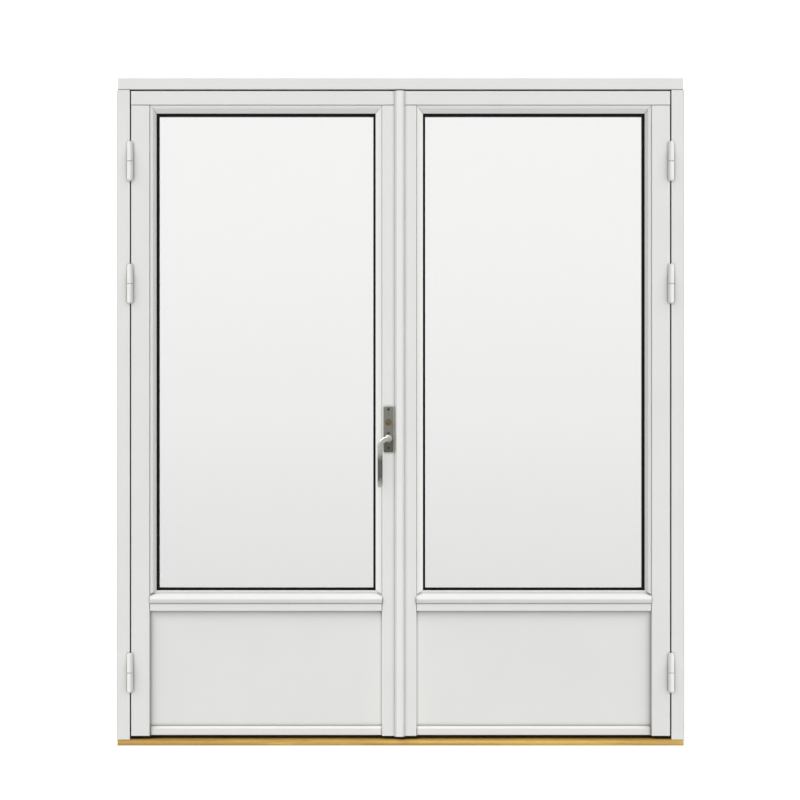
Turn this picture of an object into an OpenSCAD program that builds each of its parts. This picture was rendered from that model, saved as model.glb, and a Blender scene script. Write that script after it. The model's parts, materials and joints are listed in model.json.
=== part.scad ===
// A timber french door set in its own frame: two outward-opening leaves on an oak threshold.
// X runs to the right, Y runs inwards from the hinge side (the front), Z is up.
// The origin is the middle of the threshold's base.

/* [Frame] */
// Overall width of the frame
frame_w = 1690; // [1400:10:2040]
// Overall height of the frame
frame_h = 1990; // [1850:10:2400]
// Depth of the frame from front to back
frame_depth = 105; // [100:1:150]
// Width of a jamb as seen from the front
jamb_face = 37.5; // [34:0.5:60]
// Height of the head as seen from the front
head_face = 35; // [30:0.5:60]
// How far the rear stop stands into the opening
stop_step = 14; // [12:0.5:20]
// How much shorter the head is than the frame at each end
head_inset = 2.5; // [0:0.5:5]
// How much shorter the threshold is than the frame at each end
threshold_inset = 1.5; // [0:0.5:5]

/* [Threshold] */
// Height of the threshold's front edge
nose_h = 18; // [16:0.5:24]
// Rise from the front edge to the flat under the leaves
nose_rise = 2; // [1:0.5:4]
// Height of the upstand behind the leaves, from the base
upstand_h = 45; // [40:1:55]

/* [Leaves] */
// Thickness of a leaf
leaf_t = 57; // [56:0.5:64]
// Set-back of the leaves from the front of the frame
leaf_setback = 1.5; // [0:0.5:4]
// Gap between a leaf and the frame
leaf_gap = 4; // [3:0.5:5]
// Gap between the two leaves
meeting_gap = 6; // [6:0.5:8]
// Distance of the meeting gap's centre from the middle, to the left
meeting_shift = 4; // [0:0.5:10]
// Gap between the leaves and the threshold's flat
bottom_gap = 8.5; // [6:0.5:12]
// Front width of a hinge stile
stile_face = 55.5; // [50:0.5:80]
// Front width of a meeting stile
meeting_face = 48; // [47:0.5:70]
// Front height of a top rail
top_rail_face = 42; // [36:0.5:90]
// Height of the middle rail's lower edge above the base
mid_rail_z = 400; // [300:5:700]
// Front height of the middle rail below the drip bead
mid_rail_face = 23; // [18:0.5:60]
// Front height of a bottom rail up to its bevel
bottom_rail_face = 20; // [16:0.5:60]
// Height of the bottom rail's rear part
bottom_rail_rear = 80; // [60:5:120]
// Depth of the recess in front of a lower panel
panel_recess = 15; // [14:0.5:17]
// Set-back of the bottom rail's face
rail_recess = 10; // [6:0.5:12]

/* [Glazing] */
// Thickness of a pane
pane_t = 4; // [3:0.5:6]
// Space between the panes
pane_space = 16; // [12:1:18]
// Thickness of a glazing gasket
gasket_t = 2.5; // [2:0.5:3]
// Front width of a side bead
bead_w = 19.5; // [16:0.5:26]
// Front height of the top bead
bead_top_h = 24.5; // [18:0.5:32]
// Front height of the drip bead
drip_h = 38.5; // [34:0.5:50]
// How far the drip bead's nose stands in front of the leaf
drip_nose = 6; // [2:0.5:8]
// Width of the edge spacer that shows beyond the beads
spacer_show = 7; // [4:0.5:10]
// Clearance round the edge of the glass
glass_clear = 5; // [3:0.5:6]

/* [Hinges] */
// Length of a hinge
hinge_len = 118; // [90:1:150]
// Diameter of a hinge knuckle
knuckle_d = 18; // [14:0.5:20]
// Diameter of a hinge pin
hinge_pin_d = 8; // [6:0.5:9]
// Distance of the upper hinge's middle from the top of the frame
hinge_top = 249; // [150:1:300]
// Height of the middle hinge's middle
hinge_middle_z = 1376; // [1320:1:1500]
// Height of the lower hinge's middle
hinge_bottom_z = 217; // [190:1:300]

/* [Astragal] */
// Width of the moulding over the meeting gap
astragal_w = 32; // [28:0.5:38]
// How far it stands in front of the leaf
astragal_t = 13; // [8:0.5:18]
// How far it reaches past the left leaf's edge
astragal_lap = 20; // [15:0.5:22]
// Overlap of the right leaf's rear lip behind the left leaf
rear_lap = 8; // [6:0.5:10]

/* [Handle and lock] */
// Height of the handle's spindle
handle_z = 915; // [850:5:1100]
// Distance of the spindle from the leaf's edge
backset = 28.9; // [28.5:0.1:29.5]
// Width of the handle plate
plate_w = 28.4; // [26:0.2:30]
// Height of the handle plate
plate_h = 135.6; // [128:0.2:150]
// Thickness of the handle plate
plate_t = 6; // [4:0.5:8]
// Distance from the spindle to the handle plate's lower end
plate_below = 41.2; // [38:0.2:44]
// Distance from the spindle up to the lock cylinder
lock_rise = 48.6; // [44:0.2:60]
// Length of the grip below the spindle
grip_drop = 145; // [110:1:170]
// Distance the grip stands to the side of the spindle
grip_side = 25; // [20:0.5:32]
// Width of the grip
grip_w = 15; // [12:0.5:18]
// Thickness of the grip
grip_t = 11; // [9:0.5:14]
// Clear space behind the grip, from the leaf's face
grip_space = 30.5; // [26:0.5:45]
// Diameter of the drive rods and flush bolts
rod_d = 9; // [8:0.5:9.5]
// Travel of the drive rods and flush bolts
bolt_throw = 16; // [14:0.5:17]

/* [Fixings] */
// Distance between the fixing holes in a jamb
sleeve_step = 430; // [300:5:440]
// Height of the lowest fixing hole
sleeve_z = 330; // [300:5:340]
// Outer diameter of a fixing sleeve
sleeve_d = 16; // [14:0.5:18]
// Bore of a fixing sleeve
sleeve_bore = 10.4; // [8:0.2:11]

/* [Hidden] */
$fn = 48;

LEFT = -1;
RIGHT = 1;

paint = [0.885, 0.885, 0.875];
panel_paint = [0.87, 0.87, 0.86];
oak = [0.83, 0.66, 0.36];
rubber = [0.12, 0.12, 0.12];
spacer_black = [0.02, 0.02, 0.02];
steel = [0.62, 0.62, 0.6];
satin = [0.5, 0.5, 0.46];
brass = [0.7, 0.58, 0.32];
glass = [0.8, 0.86, 0.86, 0.35];

arris = 2.5; // rounding of painted timber edges
fit = 0.05; // running clearance on a radius
seat = 0.1; // clearance of a piece let into timber
touch = 0.3; // clearance between a leaf and a seal or lip

// frame
front_y = -frame_depth / 2;
back_y = frame_depth / 2;
half_w = frame_w / 2;
head_z = frame_h - head_face;
leaf_y = front_y + leaf_setback;
seal_gap = 4; // between the back of the leaves and the stops
stop_y = leaf_y + leaf_t + seal_gap;
stop_half = half_w - jamb_face - stop_step;
flat_z = nose_h + nose_rise;
nose_run = 16; // depth of the threshold's sloping front

// leaves
leaf_outer = half_w - jamb_face - leaf_gap;
leaf_bottom = flat_z + bottom_gap;
leaf_top = head_z - leaf_gap;
stile_top = leaf_top - top_rail_face;
bead_t = 15; // depth of the glazing beads
pocket_d = bead_t + 2 * gasket_t + 2 * pane_t + pane_space; // front of a leaf to its rear lip
lip_w = bead_w + spacer_show;
mid_y = leaf_y + leaf_t / 2;
groove_d = 10; // depth of the lower panel's grooves
bead_top_z = mid_rail_z + mid_rail_face;
sill_z = bead_top_z + drip_h;
glass_floor = sill_z - bead_w;
rebate = 2; // set-back of a bead's edge behind the timber beside it
mitre_drop = 12; // drop of the mitre between a side bead and the drip bead
bevel_h = 6; // height of the bottom rail's bevel
under_h = 12; // height of the lower panel's undercut
under_d = 5; // depth of the lower panel's undercut
rail_z0 = leaf_bottom + 1.5;
panel_floor = rail_z0 + bottom_rail_face - 2;
glass_x0 = stile_face + glass_clear;
glass_z0 = glass_floor + glass_clear;
glass_z1 = stile_top - glass_clear;
pane_y = leaf_y + bead_t + gasket_t;

// hinges
knuckle_r = knuckle_d / 2;
hinge_x = leaf_outer + leaf_gap / 2;
hinge_y = front_y - knuckle_r - 0.5;
hinge_zs = [frame_h - hinge_top, hinge_middle_z, hinge_bottom_z];
hinge_plate_t = 2.5;
hinge_plate_y = front_y + 31.5; // rear edge of a hinge plate
plate_low = 3; // from the middle of a hinge to its plates
plate_end = 5; // from the end of a hinge to its plates
hinge_split = 1.6; // gap between the two halves of a hinge
pin_len = 80;

// drive gear and rods
teeth = 12;
pitch_r = bolt_throw / (PI / 2);
tooth_m = 2 * pitch_r / teeth;
pressure = 25;
addendum = 0.8 * tooth_m;
dedendum = tooth_m;
backlash = 0.12;
gear_t = 7.6;
journal_r = 7;
square = 8; // side of the spindle
rod_r = rod_d / 2;
rod_room = 0.6; // clearance between a rod and what it runs in
faceplate_t = 2.5;
rod_inset = faceplate_t + rod_r + rod_room; // from the leaf's edge to the middle of a rod
link_h = 8; // height of the link from a rack to its rod
tooth_pitch = PI * tooth_m;
rack_steps = ceil((bolt_throw + 7) / tooth_pitch); // teeth of a rack on its moving side
link_z = handle_z + (rack_steps + 0.5) * tooth_pitch;
rack_bar = 2.6;
base_r = pitch_r * cos(pressure);
flank_rs = [for (i = [0:4]) base_r + (pitch_r + addendum - base_r) * i / 4];
case_wall = 2;
case_half = gear_t / 2 + 0.4 + case_wall;
case_z0 = handle_z - rack_steps * tooth_pitch - 2.5;
case_z1 = link_z + link_h + bolt_throw + 2.5;
bolt_tip = 1; // retracted tip below the leaf's edge
faceplate_w = 20;
channel_w = rod_d + 1.6; // width of the rod channel behind the faceplate
channel_end = 34; // solid timber left at the ends of the channel
plate_z0 = leaf_bottom + channel_end;
plate_z1 = stile_top - channel_end;
rod_x = leaf_edge(LEFT) - rod_inset;
bolt_x = leaf_edge(RIGHT) + rod_inset;
bolt_xs = [rod_x, bolt_x];

// handle
spindle_x = leaf_edge(LEFT) - backset;
case_x0 = spindle_x - pitch_r - dedendum - rack_bar - 0.3 - 1.5;
case_x1 = rod_x - rod_r - 0.5;
plate_face = leaf_y - plate_t;
plate_mid_z = handle_z - plate_below + plate_h / 2;
grip_y = leaf_y - grip_space - grip_t / 2;
post_len = plate_face - 0.3 - grip_y;
hub_r = 11;
hub_journal = 9;
screw_zs = [handle_z - plate_below + 12.8, handle_z + 15, handle_z + plate_h - plate_below - 8];
lock_r = 10;
lock_depth = 13; // depth of the lock cylinder in the stile
plug_r = 5.5;

// flush bolts
bolt_case_h = 140;
bolt_case_d = 16;
bolt_case_w = 18;
bolt_room = rod_r + 0.7; // half the width inside a bolt case
bolt_case_end = 52; // from the leaf's end to the bolt case
thumb_h = 14;
thumb_w = 8;
thumb_z = bolt_case_end + 75;

// keeps and fixings
keep_w = 18;
keep_t = 3;
keep_len = 74;
mortise_w = rod_d + 2; // side of the square holes in the keeps
screw_r = 2.5;
sleeve_y = (front_y + stop_y) / 2;
sleeve_zs = [for (i = [0:3]) sleeve_z + i * sleeve_step];
screw_x = half_w - jamb_face / 2;
screw_ys = [front_y + 22, back_y - 22];
screw_hold = 45; // depth of a frame screw in its jamb

function leaf_edge(side) = -meeting_shift + side * meeting_gap / 2;
function leaf_w(side) = leaf_outer - side * leaf_edge(side);
function arc(x, y, r, a0, a1, n = 5) =
    [for (i = [0:n]) let (a = a0 + (a1 - a0) * i / n) [x + r * cos(a), y + r * sin(a)]];
function rounded(w, h, r) = concat(
    arc(w / 2 - r, h / 2 - r, r, 0, 90), arc(r - w / 2, h / 2 - r, r, 90, 180),
    arc(r - w / 2, r - h / 2, r, 180, 270), arc(w / 2 - r, r - h / 2, r, 270, 360));

// Extrudes an outline along one axis: X-Y along Z, Y-Z along X, X-Z along Y.
module along_z(z0, z1) translate([0, 0, z0]) linear_extrude(z1 - z0) children();
module along_x(x0, x1) translate([x0, 0, 0]) rotate([90, 0, 90]) linear_extrude(x1 - x0) children();
module along_y(y0, y1) translate([0, y1, 0]) rotate([90, 0, 0]) linear_extrude(y1 - y0) children();
module block(x0, x1, y0, y1, z0, z1) translate([x0, y0, z0]) cube([x1 - x0, y1 - y0, z1 - z0]);
module rod_z(x, y, r, z0, z1) translate([x, y, z0]) cylinder(r = r, h = z1 - z0);
module rod_y(x, z, r, y0, y1) translate([x, y0, z]) rotate([-90, 0, 0]) cylinder(r = r, h = y1 - y0);

// Sets a leaf's own frame: x runs from its hinge edge towards the meeting edge.
module on_leaf(side) {
    if (side == LEFT) translate([-leaf_outer, 0, 0]) children();
    else translate([leaf_outer, 0, 0]) mirror([1, 0, 0]) children();
}

module both_sides() {
    children();
    mirror([1, 0, 0]) children();
}

// ---- frame ----

module threshold_profile(grow = 0) polygon([
    [front_y - grow, -grow], [front_y - grow, nose_h - 1], [front_y + 1, nose_h],
    [front_y + nose_run, flat_z], [stop_y, flat_z], [stop_y, upstand_h - 1],
    [stop_y + 1, upstand_h], [back_y + grow, upstand_h], [back_y + grow, -grow]
]);

// A plank with a stop planted on it.
module jamb() difference() {
    edge = -half_w + jamb_face;
    union() {
        along_z(0, head_z) polygon(concat(
            arc(-half_w + arris, front_y + arris, arris, 180, 270),
            arc(edge - arris, front_y + arris, arris, 270, 360),
            [[edge, back_y], [-half_w, back_y]]));
        along_z(0, head_z) polygon(concat(
            [[edge + seat, back_y], [edge + seat, stop_y]],
            arc(-stop_half - 1, stop_y + 1, 1, 270, 360), [[-stop_half, back_y]]));
    }
    along_x(-half_w - 1, -stop_half + 1) threshold_profile(1);
    block(-stop_half - 7, -stop_half - 4, stop_y, stop_y + 6, 0, head_z + 1);
    for (z = hinge_zs)
        block(edge - hinge_plate_t - seat, edge + 1, front_y - 1, hinge_plate_y + seat,
            z - hinge_len / 2 + plate_end - seat, z - plate_low + seat);
    for (z = sleeve_zs)
        translate([-half_w - 1, sleeve_y, z]) rotate([0, 90, 0])
            cylinder(d = sleeve_d + 2 * fit, h = jamb_face + 2);
    for (y = screw_ys) {
        rod_z(-screw_x, y, screw_r + fit, head_z - screw_hold - 1, head_z + 1);
        rod_z(-screw_x, y, screw_r + fit, -1, upstand_h + screw_hold + 1);
    }
}

module frame_jamb_left() color(paint) jamb();
module frame_jamb_right() color(paint) mirror([1, 0, 0]) jamb();

module frame_head() color(paint) difference() {
    union() {
        along_x(-half_w + head_inset, half_w - head_inset) polygon(concat(
            arc(front_y + arris, head_z + arris, arris, 270, 180),
            arc(front_y + arris, frame_h - arris, arris, 180, 90),
            [[back_y, frame_h], [back_y, head_z]]));
        along_x(-stop_half, stop_half) polygon(concat(
            [[stop_y, head_z - seat]], arc(stop_y + 1, head_z - stop_step + 1, 1, 180, 270),
            [[back_y, head_z - stop_step], [back_y, head_z - seat]]));
    }
    block(-stop_half, stop_half, stop_y - 1, stop_y + 6, head_z - stop_step + 4, head_z - stop_step + 7);
    both_sides() for (y = screw_ys) {
        rod_z(screw_x, y, screw_r + fit, head_z - 1, frame_h + 1);
        rod_z(screw_x, y, 2 * screw_r + fit, frame_h - 4, frame_h + 1);
    }
    keep_plate(head_z, head_z + keep_t, seat);
    mortises(head_z - 1, head_z + bolt_throw + 2, 0.5);
}

// The upstand is a strip of its own on the flat.
module threshold() color(oak) difference() {
    along_x(-half_w + threshold_inset, half_w - threshold_inset) threshold_profile();
    block(-half_w, half_w, stop_y - 1, back_y + 1, flat_z, flat_z + seat);
    both_sides() for (y = screw_ys) {
        rod_z(screw_x, y, screw_r + fit, -1, upstand_h + 1);
        rod_z(screw_x, y, 2 * screw_r + fit, -1, 4);
    }
    keep_plate(flat_z - keep_t, flat_z + 1, seat);
    mortises(flat_z - bolt_throw + 2, flat_z + 1, 0.5);
}

// Square holes that the rods and flush bolts enter.
module mortises(z0, z1, grow = 0) for (x = bolt_xs)
    block(x - mortise_w / 2 - grow, x + mortise_w / 2 + grow, mid_y - mortise_w / 2 - grow,
        mid_y + mortise_w / 2 + grow, z0, z1);

module keep_plate(z0, z1, grow = 0) along_z(z0, z1)
    translate([-meeting_shift, mid_y]) polygon(rounded(keep_len + 2 * grow, keep_w + 2 * grow, 4));

module keep(z0) color(steel) difference() {
    keep_plate(z0, z0 + keep_t);
    mortises(z0 - 1, z0 + keep_t + 1);
}

module head_keep() keep(head_z);
module threshold_keep() keep(flat_z - keep_t);

// A bulb against the leaves and a stem held in the stop, on all four sides.
module frame_seal() color(rubber) {
    bulb = seal_gap - touch;
    both_sides() {
        block(stop_half + 1, stop_half + 9, stop_y - bulb, stop_y, upstand_h - 1, head_z - stop_step + 1);
        block(stop_half + 4.1, stop_half + 6.9, stop_y, stop_y + 5.9, upstand_h + 0.1, head_z - stop_step);
    }
    block(-stop_half - 9, stop_half + 9, stop_y - bulb, stop_y,
        head_z - stop_step + 1.1, head_z - stop_step + 9);
    block(-stop_half + 0.1, stop_half - 0.1, stop_y, stop_y + 5.9,
        head_z - stop_step + 4.1, head_z - stop_step + 6.9);
    block(-stop_half - 9, stop_half + 9, stop_y - bulb, stop_y, upstand_h - 9, upstand_h - 1.1);
}

module frame_screws() color(steel) both_sides() for (y = screw_ys) {
    rod_z(screw_x, y, screw_r, head_z - screw_hold, frame_h - 2);
    rod_z(screw_x, y, 2 * screw_r, frame_h - 4, frame_h - 1);
    rod_z(screw_x, y, screw_r, 2, upstand_h + screw_hold);
    rod_z(screw_x, y, 2 * screw_r, 1, 4);
}

module fixing_sleeves() color(steel) both_sides() for (z = sleeve_zs)
    translate([-half_w, sleeve_y, z]) rotate([0, 90, 0]) difference() {
        cylinder(d = sleeve_d, h = jamb_face);
        translate([0, 0, -1]) cylinder(d = sleeve_bore, h = jamb_face + 2);
    }

// ---- hinges, drawn on the left side ----

module knuckle(z0, z1, cap) translate([-hinge_x, hinge_y, 0]) rotate_extrude() polygon([
    [0, z0], [knuckle_r - 1, z0], [knuckle_r, z0 + 1], [knuckle_r, z1 - 1 - cap],
    [knuckle_r - 1, z1 - cap], [knuckle_r - 2, z1 - cap], [knuckle_r - 2, z1 - 1],
    [knuckle_r - 3, z1], [0, z1]
]);

module pin_hole(z) rod_z(-hinge_x, hinge_y, hinge_pin_d / 2 + fit, z - pin_len / 2 - 0.3, z + pin_len / 2 + 0.3);

module leaf_hinge(z) difference() {
    z0 = z + hinge_split / 2;
    z1 = z + hinge_len / 2;
    union() {
        knuckle(z0, z1, 3);
        block(-hinge_x + 0.4, -leaf_outer + hinge_plate_t, hinge_y, leaf_y, z + plate_low, z1 - plate_end);
        block(-leaf_outer, -leaf_outer + hinge_plate_t, hinge_y, hinge_plate_y,
            z + plate_low, z1 - plate_end);
    }
    pin_hole(z);
}

module frame_hinge(z) difference() {
    edge = -half_w + jamb_face;
    union() {
        translate([0, 0, 2 * z]) mirror([0, 0, 1]) knuckle(z + hinge_split / 2, z + hinge_len / 2, 3);
        block(edge - hinge_plate_t, -hinge_x - 0.4, hinge_y, front_y,
            z - hinge_len / 2 + plate_end, z - plate_low);
        block(edge - hinge_plate_t, edge, hinge_y, hinge_plate_y,
            z - hinge_len / 2 + plate_end, z - plate_low);
    }
    pin_hole(z);
}

module left_frame_hinges() color(paint) for (z = hinge_zs) frame_hinge(z);
module right_frame_hinges() color(paint) mirror([1, 0, 0]) for (z = hinge_zs) frame_hinge(z);
module left_leaf_hinges() color(paint) for (z = hinge_zs) leaf_hinge(z);
module right_leaf_hinges() color(paint) mirror([1, 0, 0]) for (z = hinge_zs) leaf_hinge(z);
module hinge_pins() color(steel) both_sides() for (z = hinge_zs)
    rod_z(-hinge_x, hinge_y, hinge_pin_d / 2, z - pin_len / 2, z + pin_len / 2);

// ---- leaf timber, drawn in the leaf's own frame ----

module stile_section(face) polygon(concat(
    arc(arris, leaf_y + arris, arris, 180, 270),
    arc(face - arris, leaf_y + arris, arris, 270, 360),
    [[face, leaf_y + pocket_d], [face + lip_w, leaf_y + pocket_d],
     [face + lip_w, leaf_y + leaf_t], [0, leaf_y + leaf_t]]));

module panel_space(side, grow = 0) block(
    stile_face - groove_d + 0.5 - grow, leaf_w(side) - meeting_face + groove_d - 0.5 + grow,
    leaf_y + panel_recess + seat - grow, leaf_y + pocket_d - seat + grow,
    panel_floor + seat - grow, mid_rail_z + groove_d - 0.5 + grow);

module hinge_stile(side) on_leaf(side) difference() {
    along_z(leaf_bottom, stile_top) stile_section(stile_face);
    panel_groove(side);
    for (z = hinge_zs)
        block(-1, hinge_plate_t + seat, leaf_y - 1, hinge_plate_y + seat,
            z + plate_low - seat, z + hinge_len / 2 - plate_end + seat);
}

module panel_groove(side) intersection() {
    panel_space(side, seat);
    block(0, leaf_w(side), leaf_y + panel_recess, leaf_y + pocket_d, leaf_bottom, sill_z);
}

module plain_meeting_stile(side) on_leaf(side) difference() {
    along_z(leaf_bottom, stile_top)
        translate([leaf_w(side), 0]) mirror([1, 0]) stile_section(meeting_face);
    panel_groove(side);
}

module top_rail(side) difference() {
    on_leaf(side) {
        along_x(0, leaf_w(side)) polygon(concat(
            arc(leaf_y + arris, stile_top + arris, arris, 270, 180),
            arc(leaf_y + arris, leaf_top - arris, arris, 180, 90),
            [[leaf_y + leaf_t, leaf_top], [leaf_y + leaf_t, stile_top]]));
        block(stile_face + lip_w, leaf_w(side) - meeting_face - lip_w, leaf_y + pocket_d,
            leaf_y + leaf_t, stile_top - bead_top_h - spacer_show, stile_top + 1);
    }
    rod_z(leaf_edge(side) + side * rod_inset, mid_y, rod_r + 2 * fit, stile_top - 1, leaf_top + 1);
}

module mid_rail(side) on_leaf(side) difference() {
    union() {
        along_x(stile_face, leaf_w(side) - meeting_face) polygon(concat(
            arc(leaf_y + arris, mid_rail_z + arris, arris, 270, 180),
            arc(leaf_y + 1, bead_top_z - 1, 1, 180, 90),
            [[leaf_y + bead_t, bead_top_z], [leaf_y + bead_t, glass_floor],
             [leaf_y + pocket_d, glass_floor], [leaf_y + pocket_d, mid_rail_z]]));
        block(stile_face + lip_w, leaf_w(side) - meeting_face - lip_w, leaf_y + pocket_d,
            leaf_y + leaf_t, mid_rail_z, sill_z + spacer_show);
    }
    panel_groove(side);
}

module bottom_rail(side) on_leaf(side) difference() {
    bevel_z = rail_z0 + bottom_rail_face;
    union() {
        along_x(stile_face, leaf_w(side) - meeting_face) polygon(concat(
            arc(leaf_y + rail_recess + 1, rail_z0 + 1, 1, 270, 180),
            arc(leaf_y + rail_recess + 1, bevel_z - 1, 1, 180, 120),
            [[leaf_y + panel_recess, bevel_z + bevel_h],
             [leaf_y + pocket_d, bevel_z + bevel_h], [leaf_y + pocket_d, rail_z0]]));
        block(stile_face + lip_w, leaf_w(side) - meeting_face - lip_w, leaf_y + pocket_d,
            leaf_y + leaf_t, rail_z0, rail_z0 + bottom_rail_rear);
    }
    panel_groove(side);
}

// A shallow undercut above the bottom rail's bevel throws water clear of the joint.
module lower_panel(side) color(panel_paint) on_leaf(side) difference() {
    y = leaf_y + panel_recess;
    z = rail_z0 + bottom_rail_face + bevel_h;
    panel_space(side);
    along_x(0, leaf_w(side)) polygon([[y - 1, z], [y - 1, z + under_h], [y, z + under_h], [y + under_d, z]]);
}

// ---- glazing ----

module pane(side, y0) color(glass) on_leaf(side)
    block(glass_x0, leaf_w(side) - meeting_face - glass_clear, y0, y0 + pane_t, glass_z0, glass_z1);

// A rectangular ring in the plane of the glass: side, top and bottom widths are measured
// from the glass edge to the line where the beads or the rear lips end, less a set-back.
module glass_ring(side, y0, y1, show) {
    x1 = leaf_w(side) - meeting_face - glass_clear;
    wide = bead_w - glass_clear + show;
    difference() {
        block(glass_x0, x1, y0, y1, glass_z0, glass_z1);
        block(glass_x0 + wide, x1 - wide, y0 - 1, y1 + 1,
            sill_z + show, stile_top - bead_top_h - show);
    }
}

module spacer(side) color(spacer_black) on_leaf(side)
    glass_ring(side, pane_y + pane_t, pane_y + pane_t + pane_space, spacer_show);

module gaskets(side) color(rubber) on_leaf(side) {
    glass_ring(side, leaf_y + bead_t, pane_y, -0.5);
    glass_ring(side, leaf_y + pocket_d - gasket_t, leaf_y + pocket_d, spacer_show - 0.5);
    for (x = [150, leaf_w(side) - 150])
        block(x - 50, x + 50, pane_y, leaf_y + pocket_d - gasket_t, glass_floor, glass_z0);
}

// Bead section: [distance from the timber, depth], with a flat, a round and a slope to the glass.
function bead_points(w) = concat(
    [[0, bead_t]], arc(2.5, rebate + 2.5, 2.5, 180, 270, 4), arc(9, rebate + 4, 3, 270, 305, 3),
    arc(w - 2, bead_t - 3.5, 2, 305, 360, 3), [[w, bead_t]]);

module bead_outline(side) {
    m = leaf_w(side) - meeting_face;
    polygon([
        [stile_face, stile_top], [m, stile_top], [m - bead_w, stile_top - bead_top_h],
        [stile_face + bead_w, stile_top - bead_top_h]
    ]);
}

module bead_top(side) color(paint) on_leaf(side) intersection() {
    along_x(stile_face, leaf_w(side) - meeting_face) polygon(
        [for (p = bead_points(bead_top_h)) [leaf_y + p[1], stile_top - p[0]]]);
    along_y(leaf_y, leaf_y + bead_t) bead_outline(side);
}

module side_bead() intersection() {
    along_z(sill_z - mitre_drop, stile_top) polygon([for (p = bead_points(bead_w)) [p[0], leaf_y + p[1]]]);
    along_y(leaf_y, leaf_y + bead_t) polygon([
        [0, sill_z - mitre_drop], [0, stile_top], [bead_w, stile_top - bead_top_h], [bead_w, sill_z]
    ]);
}

module bead_hinge_side(side) color(paint) on_leaf(side) translate([stile_face, 0, 0]) side_bead();
module bead_meeting_side(side) color(paint) on_leaf(side)
    translate([leaf_w(side) - meeting_face, 0, 0]) mirror([1, 0, 0]) side_bead();

module drip_bead(side) color(paint) on_leaf(side) intersection() {
    m = leaf_w(side) - meeting_face;
    along_x(stile_face, m) polygon(concat(
        [[leaf_y + bead_t, bead_top_z], [leaf_y + bead_t, sill_z]],
        arc(leaf_y + bead_t - 4.5, sill_z - 2, 2, 90, 180, 3), [[leaf_y + 10, sill_z - 9]],
        arc(leaf_y - drip_nose + 7, bead_top_z + 12, 7, 130, 200),
        arc(leaf_y - drip_nose + 5, bead_top_z + 3.5, 2.5, 210, 270, 3),
        [[leaf_y + 1.5, bead_top_z + 1], [leaf_y + 2.5, bead_top_z]]));
    along_y(leaf_y - drip_nose - 1, leaf_y + bead_t) polygon([
        [stile_face, bead_top_z], [stile_face, sill_z - mitre_drop], [stile_face + bead_w, sill_z],
        [m - bead_w, sill_z], [m, sill_z - mitre_drop], [m, bead_top_z]
    ]);
}

// ---- left leaf: nodes ----

module left_hinge_stile() color(paint) hinge_stile(LEFT);
module left_meeting_stile() color(paint) difference() {
    plain_meeting_stile(LEFT);
    edge = leaf_edge(LEFT);
    block(edge - faceplate_t - seat, edge + 1, mid_y - faceplate_w / 2 - seat,
        mid_y + faceplate_w / 2 + seat, plate_z0 - seat, plate_z1 + seat);
    block(edge - rod_inset - rod_r - rod_room, edge, mid_y - channel_w / 2, mid_y + channel_w / 2,
        plate_z0 + 10, plate_z1 - 10);
    rod_z(edge - rod_inset, mid_y, rod_r + 2 * fit, leaf_bottom - 1, stile_top + 1);
    block(case_x0 - seat, edge - rod_inset, mid_y - case_half - seat, mid_y + case_half + seat,
        case_z0 - seat, case_z1 + seat);
    rod_y(spindle_x, handle_z, square, leaf_y - 1, mid_y);
    rod_y(spindle_x, handle_z + lock_rise, lock_r + fit, leaf_y - 1, leaf_y + lock_depth);
    for (z = screw_zs) rod_y(spindle_x, z, 2 + fit, leaf_y - 1, leaf_y + 16);
}

module left_top_rail() color(paint) top_rail(LEFT);
module left_mid_rail() color(paint) mid_rail(LEFT);
module left_bottom_rail() color(paint) bottom_rail(LEFT);
module left_lower_panel() lower_panel(LEFT);
module left_outer_pane() pane(LEFT, pane_y);
module left_inner_pane() pane(LEFT, pane_y + pane_t + pane_space);
module left_spacer() spacer(LEFT);
module left_gaskets() gaskets(LEFT);
module left_bead_top() bead_top(LEFT);
module left_bead_hinge_side() bead_hinge_side(LEFT);
module left_bead_meeting_side() bead_meeting_side(LEFT);
module left_drip_bead() drip_bead(LEFT);

// The moulding is fixed to the left leaf and stands clear of the right one.
module astragal() color(paint) along_z(leaf_bottom - 1.5, leaf_top) {
    x1 = leaf_edge(LEFT) + astragal_lap;
    x0 = x1 - astragal_w;
    polygon(concat(
        [[x0, leaf_y], [x0, leaf_y - 1.5]], arc(x0 + 9, leaf_y - astragal_t + 2.5, 2.5, 214, 270),
        arc(x1 - 9, leaf_y - astragal_t + 2.5, 2.5, 270, 326),
        [[x1, leaf_y - 1.5], [x1, leaf_y - 0.5], [leaf_edge(LEFT), leaf_y - 0.5], [leaf_edge(LEFT), leaf_y]]));
}

module faceplate() color(steel) block(leaf_edge(LEFT) - faceplate_t, leaf_edge(LEFT),
    mid_y - faceplate_w / 2, mid_y + faceplate_w / 2, plate_z0, plate_z1);

module gear_case() color(steel) difference() {
    block(case_x0, case_x1, mid_y - case_half, mid_y + case_half,
        case_z0, case_z1);
    block(case_x0 + 1.5, case_x1 + 1, mid_y - case_half + case_wall, mid_y + case_half - case_wall,
        case_z0 + 1.5, case_z1 - 1.5);
    rod_y(spindle_x, handle_z, journal_r + fit, mid_y - case_half - 1, mid_y + case_half + 1);
}

// ---- espagnolette ----

function involute(a) = tan(a) * 180 / PI - a;
function flank(r) = (90 - 180 * backlash / (PI * tooth_m)) / teeth + involute(pressure)
    - involute(acos(base_r / r));
function tooth(a) = concat(
    [polar(pitch_r - dedendum, a - flank(base_r))], [for (r = flank_rs) polar(r, a - flank(r))],
    [for (i = [4:-1:0]) polar(flank_rs[i], a + flank(flank_rs[i]))],
    [polar(pitch_r - dedendum, a + flank(base_r))]);
function polar(r, a) = [r * cos(a), r * sin(a)];

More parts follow.
